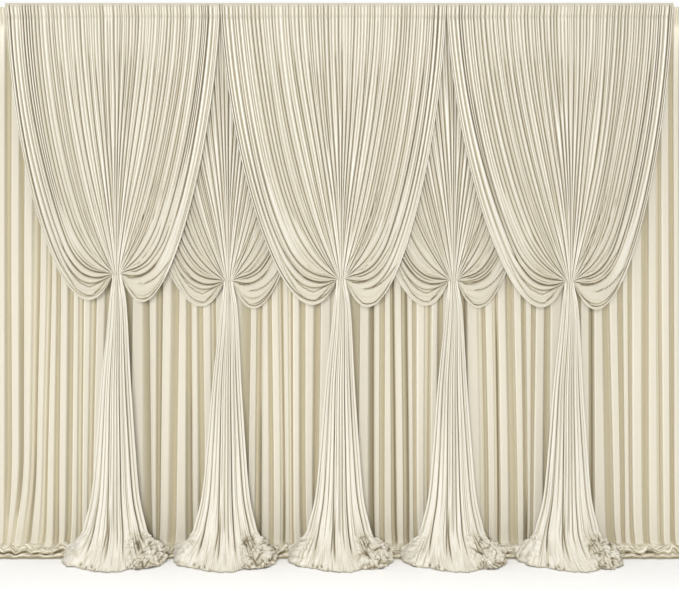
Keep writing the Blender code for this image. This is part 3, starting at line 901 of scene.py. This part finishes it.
# Waves of the hem that lies on the floor, along a panel
def hemWaving(along, seed):
    waving = 0.9 - 1.6 * np.abs(np.sin(along * 27 + 2.4 * np.sin(along * 7) + seed))
    waving = waving * (0.65 + 0.4 * np.sin(along * 9 + seed))
    return waving + 0.5 * np.sin(along * 87 + 3 * np.sin(along * 11) + 2 * seed)


# Three lines of painted shade where the cloth turns under on the floor, at rows of the levels
def turnedUnder(along, rows, seed):
    uneven = np.clip(0.8 + 0.7 * np.sin(along * 61 + 4 * np.sin(along * 17) + seed), 0.3, 1)
    shadeUnder = np.minimum(1.5 * bump(rows, 9.4, 0.65), 1) * uneven
    shadeUnder = np.maximum(shadeUnder, bump(rows, 7.65 + 0.25 * np.sin(along * 43), 0.22) * (1.2 - uneven))
    return np.maximum(shadeUnder, bump(rows, 10.75, 0.5))


def makePlain(name, values, material):
    seed = values["seed"]
    dice = np.random.default_rng(seed)
    crests = np.array(values["crests"])
    inner = crests[1:] - plainValues["litFlank"]
    valleyPlaces = np.concatenate([[values["left"]], inner, [values["right"]]])
    perFold = plainValues["columnsPerFold"]
    foldCount = len(crests)
    fold = np.minimum(np.arange(foldCount * perFold + 1) // perFold, foldCount - 1)
    share = np.arange(foldCount * perFold + 1) / perFold - fold
    width = np.diff(valleyPlaces)
    depth = np.minimum(plainValues["depthShare"] * width, plainValues["deepest"])
    depth = depth * dice.uniform(0.8, 1.1, foldCount)
    stretch = dice.uniform(0.8, 1.25, foldCount)  # some fronts are broader than others
    bent = share ** stretch[fold]
    stepped = dice.uniform(0, 1, foldCount) < 0.25  # some pause half way back
    step = np.where(stepped, dice.uniform(0.4, 0.6, foldCount), 0)
    slitted = dice.uniform(0, 1, foldCount + 1) < 0.4  # some have a narrow slit beside them
    slit = np.where(slitted, dice.uniform(0.012, 0.020, foldCount + 1), 0.002)

    # Rod pocket
    section = pocketRows()
    alongRod = blend(valleyPlaces[fold], valleyPlaces[fold + 1], share)
    gatherShare = (share * plainValues["pocketGathers"]) % 1.0
    ripple, rippleShade = foldsBetween(gatherShare, 0.018, 1.0, 1.0, 0.3, 0.3)
    reach = np.interp(np.arange(len(section)), *plainValues["pocketReach"])[:, None]
    relief = ripple * reach * plainValues["pocketRelief"]
    pocket = pocketCloth(alongRod, plainValues["pocket"], section, relief)

    # Panel, pocket to hem
    rows = rowsDown(levels)
    height, plane, scale, flare, wave = (
        throughPoints(column(levels, key), rows) for key in ("height", "plane", "fold", "flare", "wave"))
    wave = np.clip(wave, 0, 1)
    sway = plainValues["sway"] * ease(rows / 2) * (
        dice.uniform(-1, 1, foldCount + 1) * np.sin(1.1 * rows)
        + dice.uniform(-1, 1, foldCount + 1) * np.cos(0.7 * rows))
    lean = np.convolve(dice.uniform(-1, 1, foldCount + 3), (0.25, 0.5, 0.25), "valid")
    sway = sway + plainValues["lean"] * lean * ease((1.7 - height) / 1.5)
    softer = 0.24 * dice.uniform(0, 1, foldCount) ** 1.3  # how slowly a pleat falls back
    slitTop = dice.uniform(0.5, 3.2, foldCount + 1)  # height at which a slit begins
    sway[:, [0, -1]] = 0
    places = valleyPlaces + sway
    along = blend(places[:, fold], places[:, fold + 1], share) * (1 + flare)
    along = along - plainValues["endLean"] * bump(along, -1.6, 0.13) * ease((0.6 - height) / 0.6) ** 2
    halfway = step[fold] * ease((bent - 0.45) / 0.1) * (1 - ease((bent - 0.82) / 0.08))
    front = np.maximum(pleat(bent, softer[fold]), halfway)
    cut = foldsBetween(share, width[fold], slit[fold], slit[fold + 1], 2.0, 2.0)[0]
    aside = np.minimum(share, 1 - share) * width[fold]
    nearSlit = np.where(share < 0.5, slit[fold], slit[fold + 1]) / 0.014
    # The folds that lean out are shallower near the floor
    scale = scale * (1 - 0.75 * bump(along, -1.66, 0.15) * ease((0.42 - height) / 0.3))
    folds = depth[fold] * (front - 0.42) * scale + cut * scale
    gathering = plainValues["gatherDepth"] * (1 - ease(rows / 1.1)) * ripple
    waving = hemWaving(along, seed)
    crumpled, crumpledLines = crumple(along * 0.6, plane * 1.5 + height, seed, plainValues["hemPitch"])
    rough = crumpled * wave * plainValues["hemRelief"]
    lifted = wave * (plainValues["hemWaveUp"] * waving + 0.5 * rough)
    y = plane - folds - gathering - rough + wave * waving * plainValues["hemWave"]
    z = height - rise + lifted * np.clip(height / 0.035, 0, 1)
    z = np.maximum(z, floorHeight + restGap)
    points = np.concatenate([pocket, np.stack(np.broadcast_arrays(along, y, z), axis=-1)])
    # painted shade in the recess behind each pleat, and along the slits beside some
    recessShade = (1 - front) * blend(0.48, 0.63, ease((share - 0.5) / 0.45))
    recessShade = recessShade * np.clip(depth[fold] * scale / 0.016, 0, 1)
    foot = ease((0.5 - height) / 0.4)
    line = np.exp(-(aside / blend(0.0038, 0.0046, foot)) ** 2) * np.clip(1.2 * nearSlit, 0, 1)
    line = line * ease((np.where(share < 0.5, slitTop[fold], slitTop[fold + 1]) - height) / 0.5)
    recessShade = np.maximum(recessShade, line * scale) * (1 - 0.8 * wave)
    # painted shade where the cloth turns under and in its crumples' creases
    shadeUnder = turnedUnder(along, rows, seed)
    recessShade = np.maximum(recessShade, np.maximum(shadeUnder, 0.85 * crumpledLines * ease(wave * 2)))
    # painted shade of the pocket's ripples, then of the panel
    paintedShade = np.concatenate([rippleShade * np.ones_like(relief) * 0.5, recessShade])
    # painted highlight at the pleats' left edges, on the cloth on the floor and on the pocket
    rimHighlight = plainValues["edgeLight"] * bump(share, 0.10, 0.07) * (1 - wave)
    rimHighlight = rimHighlight + plainValues["floorLight"] * wave + 0.06 * front * (1 - wave)
    paintedHighlight = np.concatenate([0.55 * np.ones_like(relief), np.maximum(0.8 * (1 - ease(rows / 1.3)), rimHighlight)])
    piece = clothPiece("panel_" + name, points, paintedShade, paintedHighlight, material)
    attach(piece, "root")
    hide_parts(name, "pocket_" + name)


studio = {
    "cameraBack": 5.5,
    "cameraHeight": -1.4575,
    "focalPixels": 1100,
    "framePixels": 679,
    "keyPlace": (-0.45, -7.5, -1.0),
    "keyPower": 305.0,
    "keySize": 1.2,
    "keyTurn": 87.0,
    "topStrength": 1.8,
    "topAngle": 40,
    "skyStrength": 0.35,
    "backdropStrength": 0.97,
}


def makeStudio():
    bpy.ops.object.select_all(action="DESELECT")
    bpy.ops.mesh.primitive_plane_add(size=30, location=(0, 0, floorHeight - 0.0005))
    floor = bpy.context.object
    floor.name = "studio_floor"
    paint = bpy.data.materials.new("studio_floor")
    paint.use_nodes = True
    shader = paint.node_tree.nodes["Principled BSDF"]
    shader.inputs["Base Color"].default_value = (0.96, 0.96, 0.96, 1)
    shader.inputs["Roughness"].default_value = 0.7
    floor.data.materials.append(paint)

    view = bpy.data.cameras.new("camera")
    view.sensor_width = 36.0
    view.lens = 36.0 * studio["focalPixels"] / studio["framePixels"]
    camera = bpy.data.objects.new("camera", view)
    camera.location = (0, -studio["cameraBack"], studio["cameraHeight"])
    camera.rotation_euler = (math.radians(90), 0, 0)
    bpy.context.collection.objects.link(camera)
    bpy.context.scene.camera = camera

    key = bpy.data.lights.new("key", "AREA")
    key.energy = studio["keyPower"]
    key.size = studio["keySize"]
    top = bpy.data.lights.new("top", "SUN")
    top.energy = studio["topStrength"]
    top.angle = math.radians(studio["topAngle"])
    for light, place, turn in ((key, studio["keyPlace"], studio["keyTurn"]), (top, (0, 0, 0), 2.0)):
        lamp = bpy.data.objects.new(light.name, light)
        lamp.location = place
        lamp.rotation_euler = (math.radians(turn), 0, 0)
        bpy.context.collection.objects.link(lamp)

    world = bpy.data.worlds.new("studio")
    world.use_nodes = True
    sky = Wire(world.node_tree, None)
    seen = sky.out(sky.node("ShaderNodeLightPath"))  # the backdrop looks white and lights less
    strength = studio["skyStrength"] + seen * (studio["backdropStrength"] - studio["skyStrength"])
    backdrop = world.node_tree.nodes["Background"]
    world.node_tree.links.new(strength.socket, backdrop.inputs["Strength"])
    backdrop.inputs["Color"].default_value = (1.0, 1.0, 1.0, 1)
    bpy.context.scene.world = world
    bpy.context.scene.view_settings.view_transform = "Standard"


makeStudio()
print("studio ready")
swagCloth = clothMaterial("swag_cloth", (1.0, 1.0, 1.0))
plainCloth = clothMaterial("plain_cloth", (1.03, 1.015, 0.96))
for name, values in swags.items():
    makeSwag(name, values, swagCloth)
print("swags ready")
for name, values in plains.items():
    makePlain(name, values, plainCloth)
print("plain panels ready")
